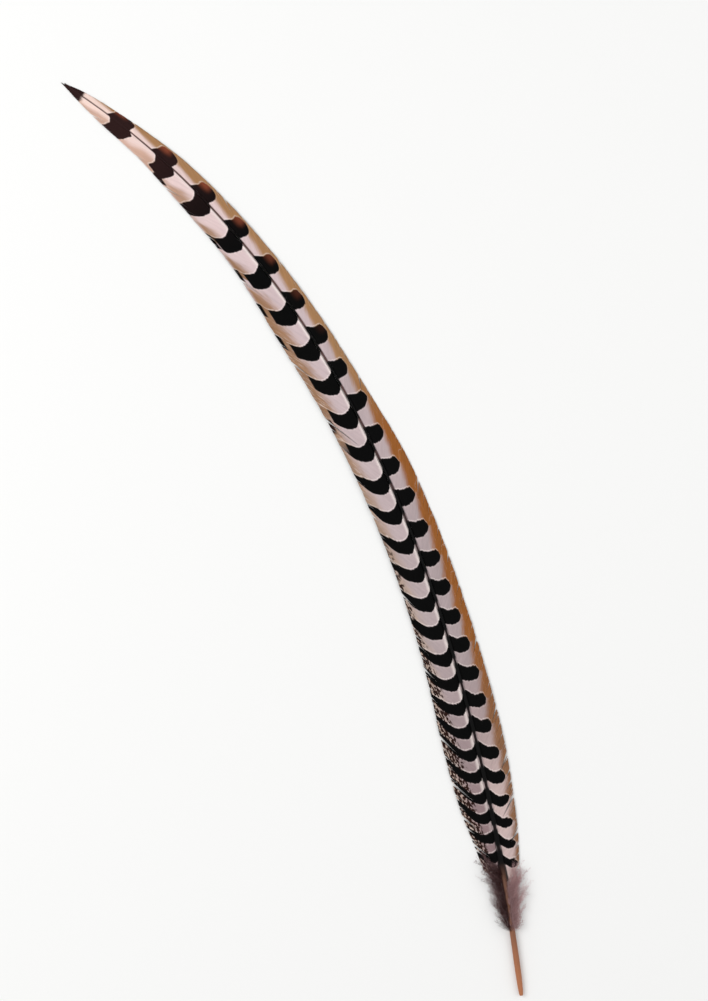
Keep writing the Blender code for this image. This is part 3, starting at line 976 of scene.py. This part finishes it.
class FEATHER_OT_stage(bpy.types.Operator):
    """Sets up the floor, the lights and the camera."""

    bl_idname = "feather.stage"
    bl_label = "Stage"

    def execute(self, context):
        scene = context.scene
        settings = scene.feather_stage
        bm = bmesh.new()
        bmesh.ops.create_grid(bm, x_segments=1, y_segments=1, size=6.0)
        mesh = bpy.data.meshes.new("floor")
        bm.to_mesh(mesh)
        bm.free()
        floor = bpy.data.objects.new("floor", mesh)
        scene.collection.objects.link(floor)
        material = bpy.data.materials.new("floor")
        material.use_nodes = True
        shader = material.node_tree.nodes["Principled BSDF"]
        shader.inputs["Base Color"].default_value = (*settings.floor_colour, 1.0)
        shader.inputs["Roughness"].default_value = 0.9
        shader.inputs["Specular IOR Level"].default_value = 0.1
        mesh.materials.append(material)

        for name, place, size, power in (
            ("key", (-1.3, 1.1, 1.9), 1.6, settings.key_power),
            ("fill", (1.7, -0.6, 1.5), 1.8, settings.fill_power),
        ):
            light = bpy.data.lights.new(name, "AREA")
            light.energy = power
            light.size = size
            lamp = bpy.data.objects.new(name, light)
            scene.collection.objects.link(lamp)
            lamp.location = place
            lamp.rotation_euler = lamp.location.to_track_quat("Z", "Y").to_euler()

        world = scene.world or bpy.data.worlds.new("even_light")
        scene.world = world
        world.use_nodes = True
        background = world.node_tree.nodes["Background"]
        background.inputs["Color"].default_value = (1.0, 1.0, 1.0, 1.0)
        background.inputs["Strength"].default_value = settings.world_strength
        scene.view_settings.view_transform = "Standard"

        # The picture's frame is 1001 pixels high, and the shaft's ends lie 1025 pixels apart in it,
        # one at (59.5, 81) and the other at (521.5, 996).
        run, drop = 521.5 - 59.5, 996 - 81
        chord = float(np.linalg.norm(PATH[-1] - PATH[0]))
        pixel = chord / math.hypot(run, drop)
        turn = -math.atan2(run, drop)
        right = (math.cos(turn), math.sin(turn))
        down = (math.sin(turn), -math.cos(turn))
        to_middle = (708 / 2 - 59.5, 1001 / 2 - 81)
        camera = bpy.data.cameras.new("camera")
        camera.lens = settings.lens
        eye = bpy.data.objects.new("camera", camera)
        scene.collection.objects.link(eye)
        eye.location = (
            PATH[0, 0] + (to_middle[0] * right[0] + to_middle[1] * down[0]) * pixel,
            PATH[0, 1] + (to_middle[0] * right[1] + to_middle[1] * down[1]) * pixel,
            0.004 + camera.lens / camera.sensor_width * 1001 * pixel,
        )
        eye.rotation_euler = (0.0, 0.0, turn)
        scene.camera = eye
        return {"FINISHED"}


class FEATHER_PT_panel(bpy.types.Panel):
    """Feather tools."""

    bl_idname = "FEATHER_PT_panel"
    bl_label = "Tail feather"
    bl_space_type = "VIEW_3D"
    bl_region_type = "UI"
    bl_category = "Feather"

    def draw(self, context):
        for operator in STEPS:
            self.layout.operator(operator.bl_idname)
        for group in ("feather_sizes", "feather_colours", "feather_stage"):
            owner = getattr(context.scene, group)
            box = self.layout.box()
            for name in owner.bl_rna.properties.keys():
                if name not in ("rna_type", "name"):
                    box.prop(owner, name)


GROUPS = {"feather_sizes": FeatherSizes, "feather_colours": FeatherColours, "feather_stage": FeatherStage}
STEPS = (FEATHER_OT_stage, FEATHER_OT_barbs, FEATHER_OT_shaft, FEATHER_OT_down)


def register():
    for kind in (*GROUPS.values(), *STEPS, FEATHER_PT_panel):
        bpy.utils.register_class(kind)
    for name, group in GROUPS.items():
        setattr(bpy.types.Scene, name, bpy.props.PointerProperty(type=group))


def unregister():
    for name in GROUPS:
        delattr(bpy.types.Scene, name)
    for kind in (FEATHER_PT_panel, *reversed(STEPS), *GROUPS.values()):
        bpy.utils.unregister_class(kind)


def main():
    register()
    bpy.ops.feather.stage()
    bpy.ops.feather.barbs()
    bpy.ops.feather.shaft()
    bpy.ops.feather.down()


if __name__ == "__main__":
    main()
